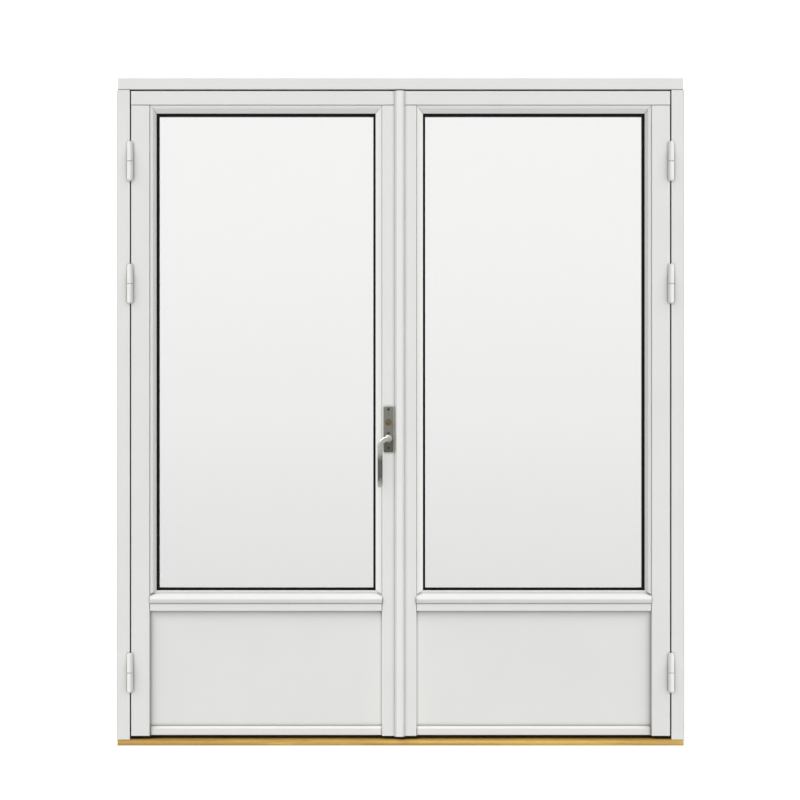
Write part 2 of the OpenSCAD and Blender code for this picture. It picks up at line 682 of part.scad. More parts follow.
module drive_gear() color(brass) difference() {
    union() {
        along_y(mid_y - gear_t / 2, mid_y + gear_t / 2) translate([spindle_x, handle_z])
            polygon([for (i = [0:teeth - 1]) each tooth(i * 360 / teeth)]);
        rod_y(spindle_x, handle_z, journal_r, mid_y - case_half, mid_y + case_half);
    }
    block(spindle_x - square / 2 - seat, spindle_x + square / 2 + seat, mid_y - case_half - 1,
        mid_y + case_half + 1, handle_z - square / 2 - seat, handle_z + square / 2 + seat);
}

module spindle() color(steel) block(spindle_x - square / 2, spindle_x + square / 2, plate_face - 6,
    mid_y + case_half, handle_z - square / 2, handle_z + square / 2);

// Rack outline in X-Z about the spindle, on its left (-1) or right (1) side.
module rack(side, first, last) {
    root = pitch_r + dedendum;
    tip = pitch_r - addendum;
    half = tooth_pitch / 4 - backlash / 2;
    flare = dedendum * tan(pressure);
    taper = addendum * tan(pressure);
    points = [for (i = [first:last]) let (z = (i + 0.5) * tooth_pitch) each [
        [root, z - half - flare], [tip, z - half + taper],
        [tip, z + half - taper], [root, z + half + flare]]];
    outline = concat([[root + rack_bar, (last + 1) * tooth_pitch], [root + rack_bar, first * tooth_pitch],
        [root, first * tooth_pitch]], points, [[root, (last + 1) * tooth_pitch]]);
    translate([spindle_x, handle_z]) polygon([for (p = outline) [side * p[0], p[1]]]);
}

module upper_drive_rod() color(steel) {
    root_x = spindle_x - pitch_r - dedendum;
    along_y(mid_y - gear_t / 2 + 0.2, mid_y + gear_t / 2 - 0.2) rack(LEFT, -rack_steps, 0);
    block(root_x - rack_bar, root_x, mid_y - gear_t / 2 + 0.2, mid_y + gear_t / 2 - 0.2,
        handle_z, link_z + link_h);
    block(root_x - rack_bar, rod_x, mid_y - gear_t / 2 + 0.2, mid_y + gear_t / 2 - 0.2,
        link_z, link_z + link_h);
    rod_z(rod_x, mid_y, rod_r, link_z, leaf_top - bolt_tip);
}

module lower_drive_rod() color(steel) {
    root_x = spindle_x + pitch_r + dedendum;
    along_y(mid_y - gear_t / 2 + 0.2, mid_y + gear_t / 2 - 0.2) rack(RIGHT, -1, rack_steps - 1);
    block(root_x, rod_x, mid_y - gear_t / 2 + 0.2, mid_y + gear_t / 2 - 0.2,
        handle_z - tooth_pitch, handle_z + rack_steps * tooth_pitch);
    rod_z(rod_x, mid_y, rod_r, leaf_bottom + bolt_tip, handle_z + rack_steps * tooth_pitch);
}

// ---- handle ----

module handle_plate() color(satin) difference() {
    intersection() {
        along_y(plate_face, leaf_y) translate([spindle_x, plate_mid_z]) polygon(rounded(plate_w, plate_h, 2.5));
        along_z(plate_mid_z - plate_h / 2, plate_mid_z + plate_h / 2) translate([spindle_x, 0])
            polygon([
                [-plate_w / 2, leaf_y], [-plate_w / 2, plate_face + 1.2], [-plate_w / 2 + 1.2, plate_face],
                [plate_w / 2 - 1.2, plate_face], [plate_w / 2, plate_face + 1.2], [plate_w / 2, leaf_y]
            ]);
    }
    rod_y(spindle_x, handle_z, hub_journal + fit, plate_face - 1, leaf_y + 1);
    rod_y(spindle_x, handle_z + lock_rise, lock_r + fit, plate_face - 1, leaf_y + 1);
    for (z = screw_zs) {
        rod_y(spindle_x, z, 2 + fit, plate_face - 1, leaf_y + 1);
        rod_y(spindle_x, z, 4 + fit, plate_face - 1, plate_face + 2.5);
    }
}

module handle_screws() color(satin) for (z = screw_zs) difference() {
    union() {
        rod_y(spindle_x, z, 4, plate_face + 0.4, plate_face + 2.5);
        rod_y(spindle_x, z, 2, plate_face + 1, leaf_y + 15.5);
    }
    block(spindle_x - 5, spindle_x + 5, plate_face - 1, plate_face + 1.4, z - 0.5, z + 0.5);
}

module lock_cylinder() color(satin) difference() {
    rod_y(spindle_x, handle_z + lock_rise, lock_r, plate_face - 1.5, leaf_y + lock_depth);
    rod_y(spindle_x, handle_z + lock_rise, plug_r + fit, plate_face - 2.5, leaf_y + lock_depth - 2);
}

module lock_plug() color(brass) difference() {
    rod_y(spindle_x, handle_z + lock_rise, plug_r, plate_face - 2.2, leaf_y + lock_depth - 2.3);
    block(spindle_x - 0.7, spindle_x + 0.7, plate_face - 3, leaf_y + 4,
        handle_z + lock_rise - 3.4, handle_z + lock_rise + 3.4);
}

// A hub, a post out from the leaf, a quarter turn down and a straight grip with a round end.
module handle_grip() color(satin) difference() {
    union() {
        rod_y(spindle_x, handle_z, hub_journal, plate_face - 0.3, leaf_y - 0.2);
        translate([spindle_x, plate_face - 0.3, handle_z]) rotate([90, 0, 0]) rotate_extrude()
            polygon(concat([[0, 0], [hub_r, 0]], arc(hub_r - 3, 5, 3, 0, 70),
                [[grip_w / 2 - 1, 12], [grip_w / 2 - 1, post_len], [0, post_len]]));
        translate([spindle_x, grip_y, handle_z]) rotate([90, 0, 0]) grip_end(-90);
        translate([spindle_x, grip_y, handle_z - grip_side]) rotate([90, 0, 0])
            rotate([0, 0, 90]) rotate_extrude(angle = 90) translate([grip_side, 0])
                polygon(rounded(grip_w, grip_t, 4.5));
        translate([spindle_x - grip_side, grip_y, handle_z - grip_drop + grip_w / 2])
            linear_extrude(grip_drop - grip_side - grip_w / 2) polygon(rounded(grip_w, grip_t, 4.5));
        translate([spindle_x - grip_side, grip_y, handle_z - grip_drop + grip_w / 2])
            rotate([90, 0, 0]) grip_end(180);
    }
    block(spindle_x - square / 2 - seat, spindle_x + square / 2 + seat, plate_face - 6.3,
        leaf_y + 1, handle_z - square / 2 - seat, handle_z + square / 2 + seat);
}

// The grip's section turned half round about its own middle, from an angle.
module grip_end(from) rotate([0, 0, from]) rotate_extrude(angle = 180) intersection() {
    polygon(rounded(grip_w, grip_t, 4.5));
    translate([0, -grip_t]) square([grip_w, 2 * grip_t]);
}

// ---- right leaf: nodes ----

module right_hinge_stile() color(paint) hinge_stile(RIGHT);
module right_meeting_stile() color(paint) difference() {
    plain_meeting_stile(RIGHT);
    for (up = [0, 1]) bolt_end(up) {
        block(bolt_x - rod_inset - seat, bolt_x - rod_inset + bolt_case_d + seat,
            mid_y - bolt_case_w / 2 - seat, mid_y + bolt_case_w / 2 + seat,
            bolt_case_end - seat, bolt_case_end + bolt_case_h + seat);
        rod_z(bolt_x, mid_y, rod_r + 2 * fit, -1, bolt_case_end + 1);
    }
}

// Places a flush bolt piece drawn upwards from the leaf's bottom end at either end of the leaf.
module bolt_end(up) {
    if (up == 1) translate([0, 0, leaf_top]) mirror([0, 0, 1]) children();
    else translate([0, 0, leaf_bottom]) children();
}

module right_top_rail() color(paint) top_rail(RIGHT);
module right_mid_rail() color(paint) mid_rail(RIGHT);
module right_bottom_rail() color(paint) bottom_rail(RIGHT);
module right_lower_panel() lower_panel(RIGHT);
module right_outer_pane() pane(RIGHT, pane_y);
module right_inner_pane() pane(RIGHT, pane_y + pane_t + pane_space);
module right_spacer() spacer(RIGHT);
module right_gaskets() gaskets(RIGHT);
module right_bead_top() bead_top(RIGHT);
module right_bead_hinge_side() bead_hinge_side(RIGHT);
module right_bead_meeting_side() bead_meeting_side(RIGHT);
module right_drip_bead() drip_bead(RIGHT);

// A cover on the back of the right leaf that laps behind the left one.
module rear_lip() color(paint) along_z(upstand_h + 5, head_z - stop_step - 5) {
    y0 = leaf_y + leaf_t;
    x0 = leaf_edge(LEFT) - rear_lap;
    polygon([
        [leaf_edge(RIGHT), y0], [leaf_edge(RIGHT), y0 + seal_gap], [x0, y0 + seal_gap],
        [x0, y0 + 11], [x0 + 1, y0 + 12], [leaf_edge(RIGHT) + 21, y0 + 12],
        [leaf_edge(RIGHT) + 22, y0 + 11], [leaf_edge(RIGHT) + 22, y0]
    ]);
}

module meeting_seal() color(rubber) block(leaf_edge(LEFT) - rear_lap + 1, leaf_edge(LEFT) - 1,
    leaf_y + leaf_t + touch, leaf_y + leaf_t + seal_gap, upstand_h + 5, head_z - stop_step - 5);

module flush_bolt_cases() color(steel) for (up = [0, 1]) bolt_end(up) {
    x0 = bolt_x - rod_inset;
    difference() {
        block(x0, x0 + bolt_case_d, mid_y - bolt_case_w / 2, mid_y + bolt_case_w / 2,
            bolt_case_end, bolt_case_end + bolt_case_h);
        block(x0 + faceplate_t, x0 + bolt_case_d - 2, mid_y - bolt_room, mid_y + bolt_room,
            bolt_case_end + 3, bolt_case_end + bolt_case_h - 3);
        block(x0 - 1, x0 + faceplate_t + 1, mid_y - thumb_w / 2 - 0.3, mid_y + thumb_w / 2 + 0.3,
            thumb_z - bolt_throw - 0.5, thumb_z + thumb_h + 0.5);
        rod_z(bolt_x, mid_y, rod_r + 2 * fit, bolt_case_end - 1, bolt_case_end + 4);
    }
}

module flush_bolt(up) color(steel) bolt_end(up) {
    rod_z(bolt_x, mid_y, rod_r, bolt_tip, bolt_case_end + bolt_case_h - 30);
    block(leaf_edge(RIGHT) + 0.5, bolt_x, mid_y - thumb_w / 2, mid_y + thumb_w / 2,
        thumb_z, thumb_z + thumb_h);
}

module upper_flush_bolt() flush_bolt(1);
module lower_flush_bolt() flush_bolt(0);

frame_head();
frame_jamb_left();
frame_jamb_right();
threshold();
frame_seal();
frame_screws();
fixing_sleeves();
head_keep();
threshold_keep();
hinge_pins();
left_frame_hinges();
right_frame_hinges();
left_leaf_hinges();
right_leaf_hinges();
left_hinge_stile();
left_meeting_stile();
left_top_rail();
left_mid_rail();
left_bottom_rail();
left_lower_panel();
left_outer_pane();
left_inner_pane();
left_spacer();
left_gaskets();
left_bead_top();
left_bead_hinge_side();
left_bead_meeting_side();
left_drip_bead();
astragal();
faceplate();
gear_case();
handle_plate();
handle_screws();
lock_cylinder();
lock_plug();
handle_grip();
spindle();
drive_gear();
upper_drive_rod();
lower_drive_rod();
right_hinge_stile();
right_meeting_stile();
right_top_rail();
right_mid_rail();
right_bottom_rail();
right_lower_panel();
right_outer_pane();
right_inner_pane();
right_spacer();
right_gaskets();
right_bead_top();
right_bead_hinge_side();
right_bead_meeting_side();
right_drip_bead();
rear_lip();
meeting_seal();
flush_bolt_cases();
upper_flush_bolt();
lower_flush_bolt();
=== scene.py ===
import bpy
import bmesh
import json
from math import radians
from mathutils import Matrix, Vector

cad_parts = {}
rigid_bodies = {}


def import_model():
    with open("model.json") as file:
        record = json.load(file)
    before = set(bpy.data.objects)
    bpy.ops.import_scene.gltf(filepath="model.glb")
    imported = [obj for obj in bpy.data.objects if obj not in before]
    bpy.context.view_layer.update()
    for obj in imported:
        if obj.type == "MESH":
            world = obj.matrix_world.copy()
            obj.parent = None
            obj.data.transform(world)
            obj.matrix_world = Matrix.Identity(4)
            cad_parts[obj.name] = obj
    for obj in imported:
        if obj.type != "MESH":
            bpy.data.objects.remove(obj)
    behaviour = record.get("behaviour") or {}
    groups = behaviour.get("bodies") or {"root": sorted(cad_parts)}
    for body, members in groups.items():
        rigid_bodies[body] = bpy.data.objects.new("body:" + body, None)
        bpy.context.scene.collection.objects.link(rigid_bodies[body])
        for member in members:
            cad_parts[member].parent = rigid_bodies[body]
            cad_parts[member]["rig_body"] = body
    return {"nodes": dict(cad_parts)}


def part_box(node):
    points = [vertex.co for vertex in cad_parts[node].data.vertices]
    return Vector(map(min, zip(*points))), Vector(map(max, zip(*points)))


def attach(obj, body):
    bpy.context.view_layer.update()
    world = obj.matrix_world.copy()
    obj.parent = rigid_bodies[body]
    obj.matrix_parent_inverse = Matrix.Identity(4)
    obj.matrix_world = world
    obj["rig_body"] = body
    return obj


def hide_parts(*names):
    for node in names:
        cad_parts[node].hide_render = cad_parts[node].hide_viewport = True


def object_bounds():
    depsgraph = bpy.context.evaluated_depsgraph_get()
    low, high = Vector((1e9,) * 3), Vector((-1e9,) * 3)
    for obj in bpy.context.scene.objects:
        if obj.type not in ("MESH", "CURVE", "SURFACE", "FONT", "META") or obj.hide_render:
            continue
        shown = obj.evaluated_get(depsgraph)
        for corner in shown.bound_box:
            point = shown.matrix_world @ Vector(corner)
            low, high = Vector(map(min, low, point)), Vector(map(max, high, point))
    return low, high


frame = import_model()
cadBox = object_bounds()
nodes = frame["nodes"]
print("frame loaded,", len(nodes), "nodes")

cameraSettings = {
    "distance": 9.0, "faceDepth": 0.04,  # to the object's front, and on to the face of the leaves
    "pictureWidth": 2.3844, "sensor": 36.0, "shiftX": -0.00075, "shiftY": 0.0145, "farthest": 200,
}


def makeCamera(settings):
    low, high = cadBox
    middle = (low + high) / 2
    data = bpy.data.cameras.new("camera")
    camera = bpy.data.objects.new("camera", data)
    bpy.context.scene.collection.objects.link(camera)
    camera.location = (0, low.y - settings["distance"], middle.z)
    camera.rotation_euler = (radians(90), 0, 0)
    data.sensor_width = settings["sensor"]
    data.lens = settings["sensor"] * (settings["distance"] + settings["faceDepth"]) / settings["pictureWidth"]
    data.shift_x = settings["shiftX"]
    data.shift_y = settings["shiftY"]
    data.clip_end = settings["farthest"]
    bpy.context.scene.camera = camera


makeCamera(cameraSettings)


def newMaterial(name):
    material = bpy.data.materials.new(name)
    material.use_nodes = True
    tree = material.node_tree
    tree.nodes.clear()
    output = tree.nodes.new("ShaderNodeOutputMaterial")
    shader = tree.nodes.new("ShaderNodeBsdfPrincipled")
    tree.links.new(shader.outputs["BSDF"], output.inputs["Surface"])
    place = tree.nodes.new("ShaderNodeTexCoord")
    return material, tree, shader, place.outputs["Object"]


def noiseAt(tree, place, scale, stretch=(1, 1, 1), detail=3.0, rough=0.5):
    mapping = tree.nodes.new("ShaderNodeMapping")
    mapping.inputs["Scale"].default_value = stretch
    tree.links.new(place, mapping.inputs["Vector"])
    noise = tree.nodes.new("ShaderNodeTexNoise")
    noise.inputs["Scale"].default_value = scale
    noise.inputs["Detail"].default_value = detail
    noise.inputs["Roughness"].default_value = rough
    tree.links.new(mapping.outputs["Vector"], noise.inputs["Vector"])
    return noise.outputs["Fac"]


def heightOf(tree, place):
    parts = tree.nodes.new("ShaderNodeSeparateXYZ")
    tree.links.new(place, parts.inputs["Vector"])
    return parts.outputs["Z"]


def spread(tree, value, low, high, fromLow=0.3, fromHigh=0.7):  # most of a noise lies between 0.3 and 0.7
    node = tree.nodes.new("ShaderNodeMapRange")
    node.inputs["From Min"].default_value = fromLow
    node.inputs["From Max"].default_value = fromHigh
    node.inputs["To Min"].default_value = low
    node.inputs["To Max"].default_value = high
    tree.links.new(value, node.inputs["Value"])
    return node.outputs["Result"]


def combine(tree, operation, *values):  # each value is a number or another node's output
    node = tree.nodes.new("ShaderNodeMath")
    node.operation = operation
    for socket, value in zip(node.inputs, values):
        if isinstance(value, float):
            socket.default_value = value
        else:
            tree.links.new(value, socket)
    return node.outputs["Value"]


def blendColours(tree, value, colours, stops):
    ramp = tree.nodes.new("ShaderNodeValToRGB")
    elements = ramp.color_ramp.elements
    while len(elements) < len(colours):
        elements.new(0.5)
    for element, colour, stop in zip(elements, colours, stops):
        element.position = stop
        element.color = (*colour, 1)
    tree.links.new(value, ramp.inputs["Fac"])
    return ramp.outputs["Color"]


def mixColours(tree, share, first, second, mode="MIX"):  # the second one is a fixed colour
    mix = tree.nodes.new("ShaderNodeMix")
    mix.data_type = "RGBA"
    mix.blend_type = mode
    tree.links.new(share, mix.inputs["Factor"])
    tree.links.new(first, mix.inputs[6])
    mix.inputs[7].default_value = (*second, 1)
    return mix.outputs[2]


def addBump(tree, shader, layers):  # each layer is a height, its strength and its depth
    normal = None
    for value, strength, distance in layers:
        bump = tree.nodes.new("ShaderNodeBump")
        bump.inputs["Strength"].default_value = strength
        bump.inputs["Distance"].default_value = distance
        tree.links.new(value, bump.inputs["Height"])
        if normal:
            tree.links.new(normal, bump.inputs["Normal"])
        normal = bump.outputs["Normal"]
    tree.links.new(normal, shader.inputs["Normal"])


seamSettings = {  # painted shade in joints and hollows; openness: deep in a joint, where the shade is fullest, and out in the clear
    "timber": {"reach": 0.009, "tone": (0.46, 0.46, 0.41), "openness": (0.10, 0.45, 0.96), "samples": 6},
    # stronger painted shade, for the sides of the astragal
    "moulding": {"reach": 0.011, "tone": (0.27, 0.27, 0.235), "openness": (0.10, 0.72, 0.98), "samples": 6},
    # painted shade on the threshold, under the leaves and along its foot
    "oak": {"reach": 0.012, "tone": (0.42, 0.41, 0.38), "openness": (0.05, 0.40, 0.98), "samples": 6},
}


def paintedSeamShade(tree, colour, settings):  # painted shade: the colour darkens where pieces meet and in hollows, from ambient occlusion
    hollow = tree.nodes.new("ShaderNodeAmbientOcclusion")
    hollow.samples = settings["samples"]
    hollow.inputs["Distance"].default_value = settings["reach"]
    deep, fullest, clear = settings["openness"]
    amount = combine(tree, "MULTIPLY",
        spread(tree, hollow.outputs["AO"], 1.0, 0.0, fullest, clear),
        spread(tree, hollow.outputs["AO"], 0.2, 1.0, deep, fullest))
    return mixColours(tree, amount, colour, settings["tone"], "MULTIPLY")


# the paint's colour drifts a little, with painted shade in its seams
def cloudyPaint(tree, place, settings, seam="timber"):
    cloud = noiseAt(tree, place, settings["cloudScale"])
    colour = blendColours(tree, cloud, (settings["shade"], settings["colour"]), settings["cloudEdges"])
    return paintedSeamShade(tree, colour, seamSettings[seam])


along = {"upright": (1, 1, 0.03), "level": (0.03, 1, 1)}  # how a grain is drawn out

paintSettings = {
    "colour": (0.815, 0.814, 0.800), "shade": (0.800, 0.800, 0.784), "cloudScale": 7, "cloudEdges": (0.3, 0.6),
    "roughness": (0.34, 0.46),
    "grainScale": 260, "grainBump": (0.25, 0.00022), "peelScale": 700, "peelBump": (0.3, 0.00006),
}


def paintedTimber(name, direction, seam="timber", settings=paintSettings):
    material, tree, shader, place = newMaterial(name)
    grain = noiseAt(tree, place, settings["grainScale"], along[direction], 4, 0.6)
    peel = noiseAt(tree, place, settings["peelScale"], detail=2)
    tree.links.new(cloudyPaint(tree, place, settings, seam), shader.inputs["Base Color"])
    tree.links.new(spread(tree, peel, *settings["roughness"]), shader.inputs["Roughness"])
    addBump(tree, shader, [(grain, *settings["grainBump"]), (peel, *settings["peelBump"])])
    return material


boardSettings = {
    "colour": (0.815, 0.814, 0.800), "shade": (0.800, 0.800, 0.784), "cloudScale": 5, "cloudEdges": (0.3, 0.6),
    "roughness": (0.38, 0.48), "peelScale": 520, "peelBump": (0.35, 0.0001),
}


def paintedBoard(name, settings):
    material, tree, shader, place = newMaterial(name)
    peel = noiseAt(tree, place, settings["peelScale"])
    tree.links.new(cloudyPaint(tree, place, settings), shader.inputs["Base Color"])
    tree.links.new(spread(tree, peel, *settings["roughness"]), shader.inputs["Roughness"])
    addBump(tree, shader, [(peel, *settings["peelBump"])])
    return material


hingeSettings = {
    "colour": (0.87, 0.87, 0.86), "shade": (0.84, 0.84, 0.83), "cloudScale": 30, "cloudEdges": (0.35, 0.6),
    "roughness": (0.24, 0.36), "peelScale": 1700, "peelBump": (0.25, 0.00005),
    "coat": 0.25, "coatRoughness": 0.15,
}


def powderCoat(name, settings):
    material, tree, shader, place = newMaterial(name)
    peel = noiseAt(tree, place, settings["peelScale"], detail=2)
    tree.links.new(cloudyPaint(tree, place, settings), shader.inputs["Base Color"])
    tree.links.new(spread(tree, peel, *settings["roughness"]), shader.inputs["Roughness"])
    shader.inputs["Coat Weight"].default_value = settings["coat"]
    shader.inputs["Coat Roughness"].default_value = settings["coatRoughness"]
    addBump(tree, shader, [(peel, *settings["peelBump"])])
    return material


oakSettings = {
    "early": (0.850, 0.550, 0.132), "late": (0.670, 0.405, 0.088), "roughness": (0.42, 0.58),
    "stretch": (0.05, 1, 1), "ringScale": 30, "ringBend": 5.5, "ringDetail": 1.6,
    "ringEdges": (0.05, 0.55), "ringBump": (0.15, 0.0002),
    "pore": (0.34, 0.17, 0.035), "poreScale": 900, "poreStretch": (0.02, 1, 1),
    "poreShare": 0.8, "poreEdges": (0.58, 0.70), "poreBump": (0.35, 0.0003),
    "topShade": (0.38, 0.37, 0.34), "topShadeAbove": (0.012, 0.018),  # painted shade: the top is darker, standing in for the shadow under the leaves
    "topShadeLeast": 0.75, "topShadeScale": 14, "topShadeStretch": (0.35, 1, 1),
}


def oiledOak(name, settings):
    material, tree, shader, place = newMaterial(name)
    drawn = tree.nodes.new("ShaderNodeMapping")
    drawn.inputs["Scale"].default_value = settings["stretch"]
    tree.links.new(place, drawn.inputs["Vector"])
    wave = tree.nodes.new("ShaderNodeTexWave")
    wave.wave_type = "RINGS"
    wave.rings_direction = "X"
    wave.inputs["Scale"].default_value = settings["ringScale"]
    wave.inputs["Distortion"].default_value = settings["ringBend"]
    wave.inputs["Detail"].default_value = 3
    wave.inputs["Detail Scale"].default_value = settings["ringDetail"]
    tree.links.new(drawn.outputs["Vector"], wave.inputs["Vector"])
    rings = wave.outputs["Fac"]
    wood = blendColours(tree, rings, (settings["late"], settings["early"]), settings["ringEdges"])
    pores = noiseAt(tree, place, settings["poreScale"], settings["poreStretch"], 2, 0.7)
    porous = spread(tree, pores, 0.0, settings["poreShare"], *settings["poreEdges"])
    wood = mixColours(tree, porous, wood, settings["pore"])
    # painted shade on the top of the threshold, broken up by a noise
    shadedTop = spread(tree, heightOf(tree, place), 0.0, 1.0, *settings["topShadeAbove"])
    shadePatch = noiseAt(tree, place, settings["topShadeScale"], settings["topShadeStretch"], 4, 0.6)
    topShadeAmount = combine(tree, "MULTIPLY", shadedTop, spread(tree, shadePatch, settings["topShadeLeast"], 1.0))
    wood = mixColours(tree, topShadeAmount, wood, settings["topShade"], "MULTIPLY")
    tree.links.new(paintedSeamShade(tree, wood, seamSettings["oak"]), shader.inputs["Base Color"])
    tree.links.new(spread(tree, rings, *settings["roughness"], 0, 1), shader.inputs["Roughness"])
    addBump(tree, shader, [(pores, *settings["poreBump"]), (rings, *settings["ringBump"])])
    return material


metalSettings = {
    "steel": {"bright": (0.62, 0.62, 0.60), "dull": (0.46, 0.46, 0.44),
        "roughness": (0.30, 0.46), "lines": (1, 1, 0.02)},
    "screw": {"bright": (0.16, 0.155, 0.14), "dull": (0.08, 0.077, 0.07),
        "roughness": (0.34, 0.50), "lines": (0.1, 1, 1)},
    "bronze": {"bright": (0.36, 0.29, 0.19), "dull": (0.20, 0.15, 0.09),
        "roughness": (0.30, 0.46), "lines": (1, 1, 1)},
    "brass": {"bright": (0.46, 0.34, 0.16), "dull": (0.24, 0.17, 0.08),
        "roughness": (0.32, 0.48), "lines": (1, 1, 1)},
    "patchScale": 55, "patchEdges": (0.36, 0.58), "patchBump": (0.1, 0.0001),
    "lineScale": 2600, "lineBump": (0.2, 0.00004),
}


def wornMetal(name, kind, settings=metalSettings):
    material, tree, shader, place = newMaterial(name)
    metal = settings[kind]
    shader.inputs["Metallic"].default_value = 1.0
    patches = noiseAt(tree, place, settings["patchScale"], detail=5, rough=0.6)
    lines = noiseAt(tree, place, settings["lineScale"], metal["lines"], 2)
    colour = blendColours(tree, patches, (metal["dull"], metal["bright"]), settings["patchEdges"])
    tree.links.new(colour, shader.inputs["Base Color"])
    tree.links.new(spread(tree, lines, *metal["roughness"]), shader.inputs["Roughness"])
    addBump(tree, shader, [(lines, *settings["lineBump"]), (patches, *settings["patchBump"])])
    return material


nickelSettings = {  # painted highlights and painted shade: tones from the lower end up, and how far up each one is reached
    "handle_grip": {"metal": 0.62, "roughness": (0.24, 0.40), "reach": (0.05, 0.17, 0.53, 0.68),
        "paintedLightTones": ((0.64, 0.63, 0.58), (0.185, 0.18, 0.165), (0.185, 0.18, 0.165), (0.70, 0.69, 0.645))},
    "handle_plate": {"metal": 1.0, "roughness": (0.26, 0.40), "reach": (0.0, 0.22, 0.40, 1.0),
        "paintedLightTones": ((0.25, 0.245, 0.215), (0.265, 0.26, 0.225), (0.46, 0.455, 0.395), (0.49, 0.485, 0.42))},
    "patchScale": 60, "patchBump": (0.12, 0.0001), "wander": 0.06,
    "speckle": (0.55, 0.53, 0.48), "speckled": 0.45, "speckleEdges": (0.52, 0.72),
    "lineScale": 2400, "lineStretch": (1, 1, 0.05), "lineBump": (0.2, 0.00004),
}


def nickelWithPaintedLight(name, node, settings=nickelSettings):  # painted light by height: painted highlights on the grip's crank and end with its shaft dark between, and painted shadow on the plate below the hub
    material, tree, shader, place = newMaterial(name)
    nickel = settings[node]
    low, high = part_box(node)
    shader.inputs["Metallic"].default_value = nickel["metal"]
    patches = noiseAt(tree, place, settings["patchScale"], detail=5, rough=0.6)
    level = spread(tree, heightOf(tree, place), 0.0, 1.0, low[2], high[2])
    level = combine(tree, "ADD", level, spread(tree, patches, -settings["wander"], settings["wander"]))
    tone = blendColours(tree, level, nickel["paintedLightTones"], nickel["reach"])
    lines = noiseAt(tree, place, settings["lineScale"], settings["lineStretch"], 2)
    specks = spread(tree, patches, 0.0, settings["speckled"], *settings["speckleEdges"])
    tone = mixColours(tree, specks, tone, settings["speckle"], "MULTIPLY")
    tree.links.new(tone, shader.inputs["Base Color"])
    tree.links.new(spread(tree, lines, *nickel["roughness"]), shader.inputs["Roughness"])
    addBump(tree, shader, [(lines, *settings["lineBump"]), (patches, *settings["patchBump"])])
    return material


rubberSettings = {
    "seal": {"colour": (0.012, 0.012, 0.012), "roughness": (0.6, 0.8), "gloss": 0.3},
    "spacer": {"colour": (0.0015, 0.0015, 0.0015), "roughness": (0.75, 0.9), "gloss": 0.02},
    "dusty": 2.0, "dustScale": 40, "dustEdges": (0.45, 0.75),
    "speckleScale": 1500, "speckleBump": (0.3, 0.00008),
}


def blackRubber(name, kind, settings=rubberSettings):
    material, tree, shader, place = newMaterial(name)
    black = settings[kind]
    speckle = noiseAt(tree, place, settings["speckleScale"], detail=3, rough=0.6)
    dust = noiseAt(tree, place, settings["dustScale"], detail=4, rough=0.6)
    dusty = tuple(channel * settings["dusty"] for channel in black["colour"])
    colour = blendColours(tree, dust, (black["colour"], dusty), settings["dustEdges"])
    tree.links.new(colour, shader.inputs["Base Color"])
    tree.links.new(spread(tree, speckle, *black["roughness"]), shader.inputs["Roughness"])
    shader.inputs["Specular IOR Level"].default_value = black["gloss"]
    addBump(tree, shader, [(speckle, *settings["speckleBump"])])
    return material


glassSettings = {
    "tint": (0.942, 0.941, 0.940), "ior": 1.52,
    "smear": (0.0, 0.02), "smearScale": 6, "smearEdges": (0.45, 0.75),
}


def clearGlass(name, settings):  # a thin pane: straight through, with one mirror face
    material, tree, shader, place = newMaterial(name)
    tree.nodes.remove(shader)
    through = tree.nodes.new("ShaderNodeBsdfTransparent")
    through.inputs["Color"].default_value = (*settings["tint"], 1)
    mirror = tree.nodes.new("ShaderNodeBsdfGlossy")
    film = noiseAt(tree, place, settings["smearScale"], (1, 1, 0.5), 5, 0.65)
    smear = spread(tree, film, *settings["smear"], *settings["smearEdges"])
    tree.links.new(smear, mirror.inputs["Roughness"])
    fresnel = tree.nodes.new("ShaderNodeFresnel")
    fresnel.inputs["IOR"].default_value = settings["ior"]
    side = tree.nodes.new("ShaderNodeNewGeometry")
    front = combine(tree, "SUBTRACT", 1.0, side.outputs["Backfacing"])
    share = combine(tree, "MULTIPLY", fresnel.outputs["Fac"], front)
    mix = tree.nodes.new("ShaderNodeMixShader")
    tree.links.new(share, mix.inputs["Fac"])
    tree.links.new(through.outputs["BSDF"], mix.inputs[1])
    tree.links.new(mirror.outputs["BSDF"], mix.inputs[2])
    tree.links.new(mix.outputs["Shader"], tree.nodes["Material Output"].inputs["Surface"])
    return material


uprightPaint = paintedTimber("white paint upright", "upright")
levelPaint = paintedTimber("white paint level", "level")
# with stronger painted shade in its seams
mouldingPaint = paintedTimber("white paint on moulding", "upright", "moulding")
boardPaint = paintedBoard("white paint on board", boardSettings)
oak = oiledOak("oiled oak", oakSettings)
steel = wornMetal("zinc plated steel", "steel")
bronze = wornMetal("aged bronze", "bronze")
screwMetal = wornMetal("dull screw heads", "screw")
gripNickel = nickelWithPaintedLight("grip nickel with painted highlights", "handle_grip")
plateNickel = nickelWithPaintedLight("plate nickel with painted shadow", "handle_plate")
brass = wornMetal("satin brass", "brass")
hingePaint = powderCoat("white powder coat", hingeSettings)
rubber = blackRubber("black weather seal", "seal")
spacerBlack = blackRubber("matt black spacer", "spacer")
glass = clearGlass("clear glazing", glassSettings)
print("materials made")

easing = {
    "width": 0.001, "segments": 2, "angle": 28, "merge": 0.00001, "flat": 0.4, "faceWeight": 60,
    "jointGap": 0.0012, "jointDepth": 0.006, "endReach": 0.0001,  # a hair of shadow where two pieces meet
}


